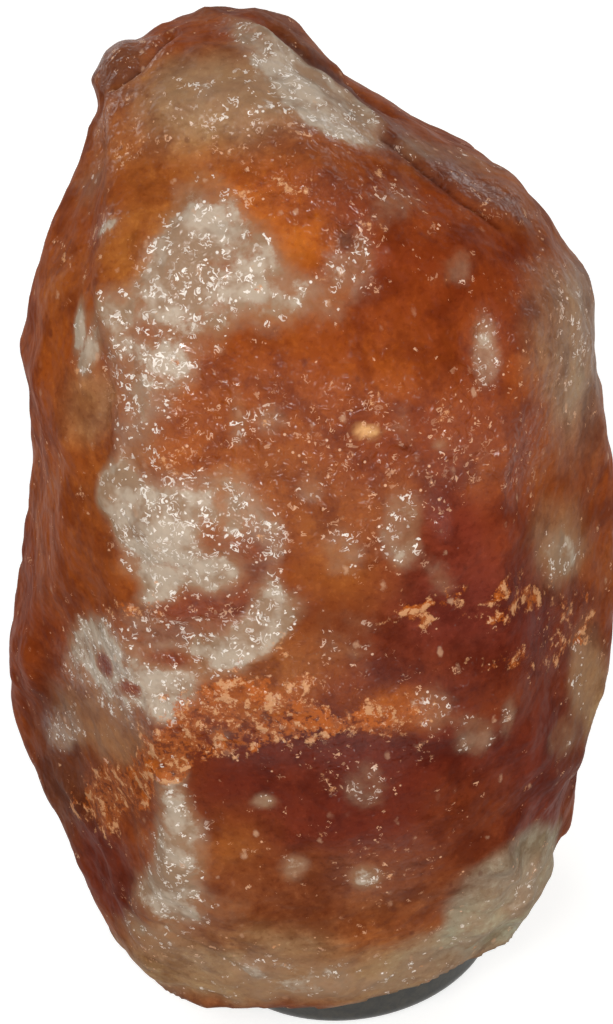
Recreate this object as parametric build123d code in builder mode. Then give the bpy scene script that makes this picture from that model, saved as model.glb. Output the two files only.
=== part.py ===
from build123d import *
from math import atan2, cos, exp, pi, radians, sin, sqrt
import os

# Salt crystal lamp. Millimetres, +Z up, origin on the floor under the middle of the round base.
# The crystal stands on a turned wooden base. A lampholder with a small screw bulb is pushed
# up through the base into a bore in the crystal, and a spring clip keeps it there.

# ---- Wooden base and its feet ----
base_radius = 33
base_thickness = 16
base_top_round = 2
base_lower_round = 3
base_hole_radius = 18
base_hole_chamfer = 1.2
channel_width = 7
channel_depth = 7
foot_radius = 4
foot_height = 2.5
foot_round = 0.8
fastener_circle = 25.5
foot_angles = (45, 135, 225, 315)
screw_angles = (0, 180, 270)

# ---- Screws, washers and plugs that hold the base to the crystal ----
screw_radius = 2
screw_length = 28
screw_head_radius = 3.6
screw_head_height = 2.2
screw_slot_width = 1
screw_slot_depth = 1
washer_radius = 4.2
washer_thickness = 0.8
counterbore_depth = 5
anchor_radius = 3.2
anchor_length = 20
anchor_end = 1.5
fastener_clearance = 0.15

# ---- Salt crystal ----
# Each level: height above the sawn underside, then the reach to the left, right, front and back.
crystal_levels = (
    (0, 53, 45, 44, 52),
    (16, 57, 51, 50, 54),
    (35, 61, 56, 53, 57),
    (56, 66, 62, 55, 57),
    (77, 61, 65, 57, 57),
    (99, 54, 66, 55, 54),
    (122, 48, 65, 53, 48),
    (145, 45, 63, 48, 39),
    (165, 38, 48, 42, 30),
    (183, 29, 25, 30, 29),
    (192, 24, 17, 18, 26),
    (198, 13, 8, 1, 19),
)
crystal_corners = 24
crystal_squareness = 0.75
crystal_half_width = 65
crystal_half_depth = 56
chip_depth = 3
# Each knock: height, the way it faces, how wide it spreads, and its push outwards (a lump) or inwards.
crystal_knocks = (
    (193, 178, 9, 3.5),
    (183, 195, 11, -3),
    (196, 50, 12, 2.5),
    (184, 352, 13, -2.5),
    (170, 343, 12, 1.5),
    (160, 350, 16, 2.5),
    (158, 186, 12, 2.5),
    (140, 190, 14, 1.5),
    (100, 188, 16, 1),
    (165, 254, 18, 1.5),
    (142, 262, 15, -1.5),
    (122, 240, 14, 1.5),
    (92, 268, 18, -1.5),
    (62, 282, 20, 1.5),
    (60, 340, 18, 1.5),
    (34, 330, 11, -3),
    (18, 323, 12, 2.5),
    (22, 222, 13, 2.5),
    (17, 238, 10, -2),
    (5, 305, 14, -1.5),
    (4, 245, 12, 1.5),
    (66, 190, 14, 1.5),
    (178, 12, 10, -1.5),
    (150, 95, 20, -3.5),
    (118, 60, 20, 2),
    (92, 112, 22, -3),
    (60, 140, 20, 2),
    (42, 75, 20, -2.5),
    (120, 10, 16, -2),
    (70, 165, 16, -1.5),
)
# Each hewn facet: the way it faces round the axis, its upward tilt, its distance from the middle.
crystal_middle_height = 95
crystal_facets = (
    (214, 3, 53.5),
    (322, 0, 60),
    (262, 48, 82),
    (128, 12, 53.5),
    (50, 6, 58.5),
)
bore_radius = 19
bore_depth = 98
bore_end_radius = 13
bore_end_height = 6

# ---- Lampholder: a cap and a sleeve that screw together ----
holder_radius = 13
holder_wall = 1.6
holder_lift = 3.5
cap_height = 13
cap_floor = 2.4
cap_lower_chamfer = 2
sleeve_height = 32
sleeve_taper = 0.5
spigot_length = 3.5
mouth_radius = 9.4
mouth_thickness = 2
rib_count = 20
rib_radius = 1
rib_length = 18
rib_start = 4
joint_clearance = 0.15

# ---- Contacts inside the lampholder ----
block_thickness = 6.5
shell_wall = 0.5
shell_length = 20
shell_lip = 1.2
strip_width = 4
strip_thickness = 0.5
tongue_rise = 2
tongue_inset = 0.6
contact_gap = 0.1
terminal_width = 5
terminal_depth = 6
terminal_height = 7
terminal_clearance = 0.25
terminal_screw_radius = 1.5
terminal_screw_length = 4
terminal_screw_height = 2
terminal_head_radius = 2.1
terminal_head_height = 1.5
wire_hole_radius = 1.3

# ---- Hollow nipple, nuts and cord gland below the cap ----
nipple_radius = 4.9
nipple_bore_radius = 3.6
nipple_length = 11
nipple_end = 0.5
nut_width = 14
nut_thickness = 2.6
gland_radius = 6.8
gland_length = 9
gland_bore_radius = 3.2
gland_chamfer = 1
gland_screw_radius = 1.25
gland_screw_length = 3

# ---- Spring clip ----
clip_thickness = 0.8
clip_width = 13
clip_reach = 14
clip_gap = 0.3
leaf_gap = 0.15
leaf_knee_drop = 10.5
leaf_tab_drop = 16.5
leaf_tab_inset = 3

# ---- Bulb ----
thread_radius = 6.85
thread_clearance = 0.15
bulb_cap_length = 18
bulb_cap_wall = 0.3
bulb_skirt_radius = 8
bulb_skirt_height = 3
bulb_tip_radius = 2.4
bulb_tip_height = 1.2
bulb_tip_round = 0.6
bulb_insulator_height = 2.4
bulb_insulator_collar = 1
bulb_glass_radius = 11
bulb_glass_wall = 0.7
bulb_shoulder_rise = 7
bulb_straight = 14
bulb_stem_radius = 2.4
bulb_stem_height = 13
bulb_flare_height = 2
seal_clearance = 0.1
filament_radius = 6
filament_wire_radius = 0.3
filament_rise = 8
lead_wire_radius = 0.35
lead_spread = 1.3
support_angles = (240, 300)

# ---- Heights and radii worked out from the sizes above ----
base_top = foot_height + base_thickness
screw_seat = foot_height + counterbore_depth
head_bottom = screw_seat - washer_thickness - screw_head_height
cap_bottom = base_top + holder_lift
cap_top = cap_bottom + cap_height
sleeve_top = cap_top + sleeve_height
spigot_radius = holder_radius - holder_wall - joint_clearance
holder_bore_radius = spigot_radius - holder_wall
block_top = cap_top + block_thickness
shell_bore_radius = thread_radius + thread_clearance
shell_top = block_top + shell_length
tongue_x = -(shell_bore_radius - tongue_inset)
shell_contact_x = shell_bore_radius + shell_wall / 2
terminal_bottom = cap_top - terminal_height
terminal_corner_radius = holder_bore_radius - terminal_clearance
terminal_spread = sqrt(terminal_corner_radius ** 2 - (terminal_depth / 2) ** 2) - terminal_width / 2
terminal_screw_z = terminal_bottom + terminal_screw_height
nipple_top = cap_bottom + cap_floor + nut_thickness + nipple_end
nipple_bottom = nipple_top - nipple_length
outer_nut_top = cap_bottom - clip_thickness
gland_top = outer_nut_top - nut_thickness
gland_bottom = gland_top - gland_length
gland_screw_z = (gland_bottom + nipple_bottom) / 2
knee_x = sqrt((base_hole_radius - clip_gap) ** 2 - (clip_width / 2) ** 2)
bulb_bottom = block_top + tongue_rise
bulb_cap_bottom = bulb_bottom + bulb_tip_height + bulb_insulator_height
bulb_cap_top = bulb_cap_bottom + bulb_cap_length
skirt_bottom = bulb_cap_top - bulb_skirt_height
bulb_neck_radius = bulb_skirt_radius - bulb_cap_wall - seal_clearance
glass_bottom = skirt_bottom + bulb_cap_wall + seal_clearance
glass_shoulder = bulb_cap_top + bulb_shoulder_rise
glass_dome = glass_shoulder + bulb_straight
stem_top = glass_bottom + bulb_stem_height
filament_z = stem_top + filament_rise


def around(angles):
    """Points on the circle that the feet and the screws share."""
    return [(fastener_circle * cos(radians(a)), fastener_circle * sin(radians(a))) for a in angles]


def signed_power(value, exponent):
    """A power that keeps the sign, which squares up an oval."""
    return abs(value) ** exponent * (1 if value > 0 else -1)


def knocked_out(x, y, height):
    """How far the knocks push a point of the crystal's outline outwards."""
    push = 0
    for knock_height, direction, spread, knock_push in crystal_knocks:
        turn = (atan2(y, x) - radians(direction) + pi) % (2 * pi) - pi
        apart = sqrt((height - knock_height) ** 2 + (turn * sqrt(x * x + y * y)) ** 2)
        push += knock_push * exp(-((apart / spread) ** 2))
    return push


def crystal_corner(level, number):
    """One corner of the crystal's outline at one level, chipped inwards by its own amount."""
    height, left, right, front, back = crystal_levels[level]
    angle = 2 * pi * number / crystal_corners
    chip = chip_depth * (0.5 + 0.5 * sin(2.3 * number + 1.7 * level))
    if number % (crystal_corners // 4) == 0:
        chip = 0
    across = signed_power(round(cos(angle), 6), crystal_squareness)
    along = signed_power(round(sin(angle), 6), crystal_squareness)
    x = (right - left) / 2 + across * ((right + left) / 2 - chip)
    y = (back - front) / 2 + along * ((back + front) / 2 - chip)
    growth = 1 + knocked_out(x, y, height) / sqrt(x * x + y * y)
    x = max(-crystal_half_width, min(crystal_half_width, x * growth))
    y = max(-crystal_half_depth, min(crystal_half_depth, y * growth))
    return x, y


# ---- The salt crystal: a hewn block, sawn flat below, with its bore and three plug holes ----
with BuildPart() as salt_crystal:
    for level in range(len(crystal_levels)):
        with BuildSketch(Plane.XY.offset(base_top + crystal_levels[level][0])):
            with BuildLine():
                Polyline(*[crystal_corner(level, number) for number in range(crystal_corners)], close=True)
            make_face()
    loft(ruled=True)
    for direction, tilt, distance in crystal_facets:
        level_part = cos(radians(tilt))
        facing = Vector(
            level_part * cos(radians(direction)),
            level_part * sin(radians(direction)),
            sin(radians(tilt)),
        )
        middle = Vector(0, 0, base_top + crystal_middle_height)
        split(bisect_by=Plane(origin=middle + facing * distance, z_dir=facing), keep=Keep.BOTTOM)
    with BuildSketch(Plane.XZ):
        with BuildLine():
            Polyline(
                (0, base_top),
                (bore_radius, base_top),
                (bore_radius, base_top + bore_depth - bore_end_height),
                (bore_end_radius, base_top + bore_depth),
                (0, base_top + bore_depth),
                close=True,
            )
        make_face()
    revolve(axis=Axis.Z, mode=Mode.SUBTRACT)
    with BuildSketch(Plane.XY.offset(base_top)):
        with Locations(*around(screw_angles)):
            Circle(anchor_radius + fastener_clearance)
    extrude(amount=anchor_length + fastener_clearance, mode=Mode.SUBTRACT)
salt_crystal.part.label = "salt_crystal"

# ---- The wooden base: a turned disc with its hole, counterbores and the cord's channel at the rear ----
with BuildPart() as wooden_base:
    with BuildSketch(Plane.XY.offset(foot_height)):
        Circle(base_radius)
    extrude(amount=base_thickness)
    fillet(wooden_base.edges().filter_by(GeomType.CIRCLE).sort_by(Axis.Z)[-1], base_top_round)
    fillet(wooden_base.edges().filter_by(GeomType.CIRCLE).sort_by(Axis.Z)[0], base_lower_round)
    with BuildSketch(Plane.XY.offset(foot_height)):
        Circle(base_hole_radius)
    extrude(amount=base_thickness, mode=Mode.SUBTRACT)
    with BuildSketch(Plane.XY.offset(foot_height)):
        Circle(base_hole_radius + base_hole_chamfer)
    extrude(amount=base_hole_chamfer, taper=45, mode=Mode.SUBTRACT)
    with BuildSketch(Plane.XY.offset(foot_height)):
        with Locations((0, base_radius)):
            Rectangle(channel_width, 2 * (base_radius - base_hole_radius) + base_hole_radius / 2)
    extrude(amount=channel_depth, mode=Mode.SUBTRACT)
    with BuildSketch(Plane.XY.offset(foot_height)):
        with Locations(*around(screw_angles)):
            Circle(screw_radius + fastener_clearance)
    extrude(amount=base_thickness, mode=Mode.SUBTRACT)
    with BuildSketch(Plane.XY.offset(foot_height)):
        with Locations(*around(screw_angles)):
            Circle(washer_radius + fastener_clearance)
    extrude(amount=counterbore_depth, mode=Mode.SUBTRACT)
wooden_base.part.label = "wooden_base"

# ---- Four stick-on rubber feet ----
feet = []
for foot_point in around(foot_angles):
    with BuildPart() as foot:
        with BuildSketch(Plane.XY):
            with Locations(foot_point):
                Circle(foot_radius)
        extrude(amount=foot_height)
        fillet(foot.edges().filter_by(GeomType.CIRCLE).sort_by(Axis.Z)[0], foot_round)
    foot.part.label = "foot_" + str(len(feet) + 1)
    feet.append(foot)

# ---- Three slotted pan head screws, their washers, and the plugs set in the salt ----
with BuildPart() as base_screws:
    with BuildSketch(Plane.XY.offset(head_bottom)):
        with Locations(*around(screw_angles)):
            Circle(screw_head_radius)
    extrude(amount=screw_head_height)
    with BuildSketch(Plane.XY.offset(head_bottom + screw_head_height)):
        with Locations(*around(screw_angles)):
            Circle(screw_radius)
    extrude(amount=screw_length)
    with BuildSketch(Plane.XY.offset(head_bottom)):
        with Locations(*around(screw_angles)):
            Rectangle(3 * screw_head_radius, screw_slot_width)
    extrude(amount=screw_slot_depth, mode=Mode.SUBTRACT)
base_screws.part.label = "base_screws"

with BuildPart() as base_washers:
    with BuildSketch(Plane.XY.offset(screw_seat - washer_thickness)):
        with Locations(*around(screw_angles)):
            Circle(washer_radius)
            Circle(screw_radius + fastener_clearance, mode=Mode.SUBTRACT)
    extrude(amount=washer_thickness)
base_washers.part.label = "base_washers"

with BuildPart() as salt_anchors:
    with BuildSketch(Plane.XY.offset(base_top)):
        with Locations(*around(screw_angles)):
            Circle(anchor_radius)
    extrude(amount=anchor_length)
    with BuildSketch(Plane.XY.offset(base_top)):
        with Locations(*around(screw_angles)):
            Circle(screw_radius + fastener_clearance)
    extrude(amount=anchor_length - anchor_end, mode=Mode.SUBTRACT)
salt_anchors.part.label = "salt_anchors"

# ---- Lampholder cap: a moulded cup with a hole for the nipple in its floor ----
with BuildPart() as holder_cap:
    with BuildSketch(Plane.XZ):
        with BuildLine():
            Polyline(
                (nipple_radius + joint_clearance, cap_bottom),
                (holder_radius - cap_lower_chamfer, cap_bottom),
                (holder_radius, cap_bottom + cap_lower_chamfer),
                (holder_radius, cap_top),
                (holder_radius - holder_wall, cap_top),
                (holder_radius - holder_wall, cap_bottom + cap_floor),
                (nipple_radius + joint_clearance, cap_bottom + cap_floor),
                close=True,
            )
        make_face()
    revolve(axis=Axis.Z)
holder_cap.part.label = "holder_cap"

# ---- Lampholder sleeve: a tapered tube with a spigot that enters the cap, and grip ribs outside ----
with BuildPart() as holder_sleeve:
    with BuildSketch(Plane.XZ):
        with BuildLine():
            Polyline(
                (holder_bore_radius, cap_top - spigot_length),
                (spigot_radius, cap_top - spigot_length),
                (spigot_radius, cap_top),
                (holder_radius, cap_top),
                (holder_radius - sleeve_taper, sleeve_top),
                (mouth_radius, sleeve_top),
                (mouth_radius, sleeve_top - mouth_thickness),
                (holder_bore_radius, sleeve_top - mouth_thickness),
                close=True,
            )
        make_face()
    revolve(axis=Axis.Z)
    with BuildSketch(Plane.XY.offset(cap_top + rib_start)):
        with PolarLocations(holder_radius - sleeve_taper, rib_count):
            Circle(rib_radius)
    extrude(amount=rib_length)
holder_sleeve.part.label = "holder_sleeve"

# ---- Contact block: the round insulator that carries the terminals and the contacts ----
with BuildPart() as contact_block:
    with BuildSketch(Plane.XY.offset(cap_top)):
        Circle(holder_bore_radius - joint_clearance)
        with Locations((tongue_x, 0), (shell_contact_x, 0)):
            Rectangle(
                strip_thickness + 2 * joint_clearance,
                strip_width + 2 * joint_clearance,
                mode=Mode.SUBTRACT,
            )
    extrude(amount=block_thickness)
contact_block.part.label = "contact_block"

# ---- Screw shell: the brass tube that takes the bulb, with a turned-out lip ----
with BuildPart() as screw_shell:
    with BuildSketch(Plane.XZ):
        with BuildLine():
            Polyline(
                (shell_bore_radius, block_top),
                (shell_bore_radius + shell_wall, block_top),
                (shell_bore_radius + shell_wall, shell_top - shell_wall),
                (shell_bore_radius + shell_lip, shell_top - shell_wall),
                (shell_bore_radius + shell_lip, shell_top),
                (shell_bore_radius, shell_top),
                close=True,
            )
        make_face()
    revolve(axis=Axis.Z)
screw_shell.part.label = "screw_shell"

# ---- Centre contact: a springy brass tongue that rises from its terminal to the bulb's tip ----
with BuildPart() as centre_contact:
    with BuildSketch(Plane.XZ):
        with BuildLine():
            Polyline(
                (tongue_x - strip_thickness / 2, cap_top),
                (tongue_x + strip_thickness / 2, cap_top),
                (tongue_x + strip_thickness / 2, block_top),
                (-bulb_tip_radius, bulb_bottom - contact_gap - strip_thickness),
                (bulb_tip_radius, bulb_bottom - contact_gap - strip_thickness),
                (bulb_tip_radius, bulb_bottom - contact_gap),
                (-bulb_tip_radius, bulb_bottom - contact_gap),
                (tongue_x - strip_thickness / 2, block_top + strip_thickness),
                close=True,
            )
        make_face()
    extrude(amount=strip_width / 2, both=True)
centre_contact.part.label = "centre_contact"

with BuildPart() as shell_contact:
    with BuildSketch(Plane.XY.offset(cap_top)):
        with Locations((shell_contact_x, 0)):
            Rectangle(strip_thickness, strip_width)
    extrude(amount=block_thickness)
shell_contact.part.label = "shell_contact"

# ---- Two brass terminals with a wire hole from below and a clamping screw from the front ----
terminals = []
for side, side_name in ((-1, "left"), (1, "right")):
    with BuildPart() as terminal:
        with BuildSketch(Plane.XY.offset(terminal_bottom)):
            with Locations((side * terminal_spread, 0)):
                Rectangle(terminal_width, terminal_depth)
                Circle(wire_hole_radius, mode=Mode.SUBTRACT)
        extrude(amount=terminal_height)
        with BuildSketch(Plane.XZ.offset(terminal_depth / 2)):
            with Locations((side * terminal_spread, terminal_screw_z)):
                Circle(terminal_screw_radius + contact_gap)
        extrude(amount=-terminal_screw_length, mode=Mode.SUBTRACT)
    terminal.part.label = "terminal_" + side_name
    terminals.append(terminal)

with BuildPart() as terminal_screws:
    with BuildSketch(Plane.XZ.offset(terminal_depth / 2)):
        with Locations(*[(side * terminal_spread, terminal_screw_z) for side in (-1, 1)]):
            Circle(terminal_head_radius)
    extrude(amount=terminal_head_height)
    with BuildSketch(Plane.XZ.offset(terminal_depth / 2)):
        with Locations(*[(side * terminal_spread, terminal_screw_z) for side in (-1, 1)]):
            Circle(terminal_screw_radius)
    extrude(amount=contact_gap - terminal_screw_length)
terminal_screws.part.label = "terminal_screws"

# ---- Hollow nipple through the cap's floor, with a nut on each side ----
with BuildPart() as threaded_nipple:
    with BuildSketch(Plane.XY.offset(nipple_bottom)):
        Circle(nipple_radius)
        Circle(nipple_bore_radius, mode=Mode.SUBTRACT)
    extrude(amount=nipple_length)
threaded_nipple.part.label = "threaded_nipple"

with BuildPart() as inner_nut:
    with BuildSketch(Plane.XY.offset(cap_bottom + cap_floor)):
        RegularPolygon(nut_width / 2, 6, major_radius=False)
        Circle(nipple_radius + joint_clearance, mode=Mode.SUBTRACT)
    extrude(amount=nut_thickness)
inner_nut.part.label = "inner_nut"

with BuildPart() as outer_nut:
    with BuildSketch(Plane.XY.offset(outer_nut_top - nut_thickness)):
        RegularPolygon(nut_width / 2, 6, major_radius=False)
        Circle(nipple_radius + joint_clearance, mode=Mode.SUBTRACT)
    extrude(amount=nut_thickness)
outer_nut.part.label = "outer_nut"

# ---- Cord gland: a bush on the nipple's lower end, with a flared mouth and a side screw ----
with BuildPart() as cord_gland:
    with BuildSketch(Plane.XZ):
        with BuildLine():
            Polyline(
                (gland_bore_radius + gland_chamfer, gland_bottom),
                (gland_radius - gland_chamfer, gland_bottom),
                (gland_radius, gland_bottom + gland_chamfer),
                (gland_radius, gland_top),
                (nipple_radius + joint_clearance, gland_top),
                (nipple_radius + joint_clearance, nipple_bottom),
                (gland_bore_radius, nipple_bottom),
                (gland_bore_radius, gland_bottom + gland_chamfer),
                close=True,
            )
        make_face()
    revolve(axis=Axis.Z)
    with BuildSketch(Plane.XZ.offset(gland_bore_radius / 2)):
        with Locations((0, gland_screw_z)):
            Circle(gland_screw_radius + contact_gap)
    extrude(amount=gland_radius, mode=Mode.SUBTRACT)
cord_gland.part.label = "cord_gland"

with BuildPart() as gland_screw:
    with BuildSketch(Plane.XZ.offset(gland_bore_radius + contact_gap)):
        with Locations((0, gland_screw_z)):
            Circle(gland_screw_radius)
    extrude(amount=gland_screw_length)
gland_screw.part.label = "gland_screw"

# ---- Spring clip: a steel strap under the cap, and two leaves that grip the hole in the base ----
with BuildPart() as clip_plate:
    with BuildSketch(Plane.XY.offset(cap_bottom - clip_thickness)):
        Rectangle(2 * (clip_reach - leaf_gap), clip_width)
        Circle(nipple_radius + joint_clearance, mode=Mode.SUBTRACT)
    extrude(amount=clip_thickness)
clip_plate.part.label = "clip_plate"

leaves = []
for side, side_name in ((-1, "left"), (1, "right")):
    with BuildPart() as clip_leaf:
        with BuildSketch(Plane.XZ):
            with BuildLine():
                # The strap's outer bend, round the line that the leaf flexes about
                CenterArc((side * clip_reach, cap_bottom - clip_thickness), clip_thickness, 45 - 45 * side, 90)
                Polyline(
                    (side * (clip_reach + clip_thickness), cap_bottom - clip_thickness),
                    (side * knee_x, cap_bottom - leaf_knee_drop),
                    (side * (knee_x - leaf_tab_inset), cap_bottom - leaf_tab_drop),
                    (side * (knee_x - leaf_tab_inset - clip_thickness), cap_bottom - leaf_tab_drop),
                    (side * (knee_x - clip_thickness), cap_bottom - leaf_knee_drop),
                    (side * clip_reach, cap_bottom - clip_thickness),
                    (side * clip_reach, cap_bottom),
                )
            make_face()
        extrude(amount=clip_width / 2, both=True)
    clip_leaf.part.label = "clip_leaf_" + side_name
    leaves.append(clip_leaf)

# ---- Bulb cap: thin screw cap with a wider skirt round the glass ----
with BuildPart() as bulb_cap:
    with BuildSketch(Plane.XZ):
        with BuildLine():
            Polyline(
                (thread_radius - bulb_cap_wall, bulb_cap_bottom),
                (thread_radius, bulb_cap_bottom),
                (thread_radius, skirt_bottom),
                (bulb_skirt_radius, skirt_bottom),
                (bulb_skirt_radius, bulb_cap_top),
                (bulb_skirt_radius - bulb_cap_wall, bulb_cap_top),
                (bulb_skirt_radius - bulb_cap_wall, skirt_bottom + bulb_cap_wall),
                (thread_radius - bulb_cap_wall, skirt_bottom + bulb_cap_wall),
                close=True,
            )
        make_face()
    revolve(axis=Axis.Z)
bulb_cap.part.label = "bulb_cap"

with BuildPart() as bulb_insulator:
    with BuildSketch(Plane.XZ):
        with BuildLine():
            Polyline(
                (0, bulb_bottom + bulb_tip_height + contact_gap),
                (bulb_tip_radius, bulb_bottom + bulb_tip_height + contact_gap),
                (thread_radius - bulb_cap_wall - contact_gap, bulb_cap_bottom),
                (thread_radius - bulb_cap_wall - contact_gap, bulb_cap_bottom + bulb_insulator_collar),
                (0, bulb_cap_bottom + bulb_insulator_collar),
                close=True,
            )
        make_face()
    revolve(axis=Axis.Z)
bulb_insulator.part.label = "bulb_insulator"

with BuildPart() as bulb_tip:
    with BuildSketch(Plane.XY.offset(bulb_bottom)):
        Circle(bulb_tip_radius)
    extrude(amount=bulb_tip_height)
    fillet(bulb_tip.edges().filter_by(GeomType.CIRCLE).sort_by(Axis.Z)[0], bulb_tip_round)
bulb_tip.part.label = "bulb_tip"

# ---- Bulb glass: blown bulb with an even wall, open at the neck, where the stem is sealed in ----
with BuildPart() as bulb_glass:
    with BuildSketch(Plane.XZ):
        with BuildLine():
            Line((bulb_neck_radius - bulb_glass_wall, glass_bottom), (bulb_neck_radius, glass_bottom))
            Line((bulb_neck_radius, glass_bottom), (bulb_neck_radius, bulb_cap_top))
            Spline(
                (bulb_neck_radius, bulb_cap_top),
                (bulb_glass_radius, glass_shoulder),
                tangents=((0, 1), (0, 1)),
            )
            Line((bulb_glass_radius, glass_shoulder), (bulb_glass_radius, glass_dome))
            CenterArc((0, glass_dome), bulb_glass_radius, 0, 90)
            Line((0, glass_dome + bulb_glass_radius), (0, glass_dome + bulb_glass_radius - bulb_glass_wall))
            CenterArc((0, glass_dome), bulb_glass_radius - bulb_glass_wall, 90, -90)
            Line(
                (bulb_glass_radius - bulb_glass_wall, glass_dome),
                (bulb_glass_radius - bulb_glass_wall, glass_shoulder),
            )
            Spline(
                (bulb_glass_radius - bulb_glass_wall, glass_shoulder),
                (bulb_neck_radius - bulb_glass_wall, bulb_cap_top),
                tangents=((0, -1), (0, -1)),
            )
            Line(
                (bulb_neck_radius - bulb_glass_wall, bulb_cap_top),
                (bulb_neck_radius - bulb_glass_wall, glass_bottom),
            )
        make_face()
    revolve(axis=Axis.Z)
bulb_glass.part.label = "bulb_glass"

with BuildPart() as bulb_stem:
    with BuildSketch(Plane.XZ):
        with BuildLine():
            Polyline(
                (0, glass_bottom),
                (bulb_neck_radius - bulb_glass_wall - seal_clearance, glass_bottom),
                (bulb_stem_radius, glass_bottom + bulb_flare_height),
                (bulb_stem_radius, stem_top),
                (0, stem_top),
                close=True,
            )
        make_face()
    revolve(axis=Axis.Z)
bulb_stem.part.label = "bulb_stem"

# ---- Filament: an arc of coiled wire on two leads and two supports ----
with BuildPart() as filament:
    with BuildSketch(Plane.XZ):
        with Locations((filament_radius, filament_z)):
            Circle(filament_wire_radius)
    revolve(axis=Axis.Z, revolution_arc=-180)
filament.part.label = "filament"

with BuildPart() as lead_wires:
    for side in (-1, 1):
        lead_start = Vector(side * lead_spread, 0, stem_top + lead_wire_radius)
        lead_end = Vector(side * filament_radius, 0, filament_z - filament_wire_radius - lead_wire_radius)
        with BuildLine() as lead_path:
            Line(lead_start, lead_end)
        with BuildSketch(Plane(origin=lead_start, z_dir=lead_end - lead_start)):
            Circle(lead_wire_radius)
        sweep(path=lead_path.line)
lead_wires.part.label = "lead_wires"

with BuildPart() as support_wires:
    for angle in support_angles:
        outward = Vector(cos(radians(angle)), sin(radians(angle)), 0)
        support_start = outward * lead_spread + Vector(0, 0, stem_top + lead_wire_radius)
        support_end = outward * filament_radius
        support_end = support_end + Vector(0, 0, filament_z - filament_wire_radius - lead_wire_radius)
        with BuildLine() as support_path:
            Line(support_start, support_end)
        with BuildSketch(Plane(origin=support_start, z_dir=support_end - support_start)):
            Circle(lead_wire_radius / 2)
        sweep(path=support_path.line)
support_wires.part.label = "support_wires"

# ---- One file for each piece ----
pieces = [salt_crystal, wooden_base, base_screws, base_washers, salt_anchors]
pieces += [holder_cap, holder_sleeve, contact_block, screw_shell, centre_contact, shell_contact]
pieces += [terminal_screws, threaded_nipple, inner_nut, outer_nut, cord_gland, gland_screw, clip_plate]
pieces += [bulb_cap, bulb_insulator, bulb_tip, bulb_glass, bulb_stem, filament, lead_wires, support_wires]
pieces += feet + terminals + leaves

os.makedirs("parts", exist_ok=True)
for piece in pieces:
    export_step(piece.part, "parts/" + piece.part.label + ".step")
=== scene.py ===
import bmesh
import bpy
import math
import numpy as np
from mathutils import Matrix, Vector, noise
from mathutils.bvhtree import BVHTree


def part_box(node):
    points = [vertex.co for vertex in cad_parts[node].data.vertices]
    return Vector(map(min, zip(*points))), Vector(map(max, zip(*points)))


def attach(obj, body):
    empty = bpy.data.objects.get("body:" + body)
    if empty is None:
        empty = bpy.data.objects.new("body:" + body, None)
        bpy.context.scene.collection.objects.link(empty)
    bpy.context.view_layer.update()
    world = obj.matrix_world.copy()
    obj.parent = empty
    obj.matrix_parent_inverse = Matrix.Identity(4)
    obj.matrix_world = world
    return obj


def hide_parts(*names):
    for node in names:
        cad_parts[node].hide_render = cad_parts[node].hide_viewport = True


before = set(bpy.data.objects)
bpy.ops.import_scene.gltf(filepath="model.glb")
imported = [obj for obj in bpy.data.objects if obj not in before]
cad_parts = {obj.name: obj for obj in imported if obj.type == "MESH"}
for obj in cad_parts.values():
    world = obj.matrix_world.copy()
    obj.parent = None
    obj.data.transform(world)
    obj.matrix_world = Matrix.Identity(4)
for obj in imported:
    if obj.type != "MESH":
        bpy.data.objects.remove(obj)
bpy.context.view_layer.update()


# ---- Camera: a viewer's eye about half a metre in front of the lamp and a little above it ----
# The lamp leans to the left in the picture, because the viewer holds the camera tilted.
picture_width, picture_height = 613, 1024
camera_target = Vector((0.003, 0, 0.1135))
camera_distance = 0.52
camera_rise = math.radians(32)
camera_roll = math.radians(8)
focal_pixels = 2545
film_width = 36

level_up = Vector((0, math.sin(camera_rise), math.cos(camera_rise)))
level_right = Vector((1, 0, 0))
view_forward = Vector((0, math.cos(camera_rise), -math.sin(camera_rise)))
view_up = level_up * math.cos(camera_roll) + level_right * math.sin(camera_roll)
view_right = level_right * math.cos(camera_roll) - level_up * math.sin(camera_roll)
eye = camera_target - view_forward * camera_distance

camera_data = bpy.data.cameras.new("camera")
camera_data.sensor_fit = "AUTO"
camera_data.sensor_width = film_width
camera_data.lens = focal_pixels * film_width / picture_height
camera_data.clip_start = 0.01
camera_data.clip_end = 20
camera = bpy.data.objects.new("camera", camera_data)
bpy.context.scene.collection.objects.link(camera)
camera_turn = Matrix((view_right, view_up, -view_forward)).transposed().to_4x4()
camera.matrix_world = Matrix.Translation(eye) @ camera_turn
bpy.context.scene.camera = camera


# ---- Salt crystal: one lump of orange rock salt, split from the bed and roughly hewn ----
# Its underside is sawn flat and it is bored from below. Handling and damp have rounded the
# edges, and bands of iron clay and milky salt run through the clear amber mass.
crystal_voxel = 0.00111
sawn_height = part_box("salt_crystal")[0].z
bore_wall = 0.019
bore_roof = sawn_height + 0.098
bore_roof_edge = 0.008
millimetre = 0.001
weld_distance = 1e-6
pixel_size = camera_distance / focal_pixels

hewn = bpy.data.meshes.new("hewn")
block = bmesh.new()
block.from_mesh(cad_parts["salt_crystal"].data)
bmesh.ops.remove_doubles(block, verts=block.verts, dist=weld_distance)
block.to_mesh(hewn)
block.free()
crystal = bpy.data.objects.new("salt_lump", hewn)
bpy.context.scene.collection.objects.link(crystal)
voxels = crystal.modifiers.new("voxels", "REMESH")
voxels.mode = "VOXEL"
voxels.voxel_size = crystal_voxel
worn = crystal.modifiers.new("worn", "SMOOTH")
worn.factor = 0.5
worn.iterations = 16
bpy.context.view_layer.update()
worn_crystal = crystal.evaluated_get(bpy.context.evaluated_depsgraph_get())
lump = bpy.data.meshes.new_from_object(worn_crystal)
crystal.modifiers.clear()
crystal.data = lump

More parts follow.
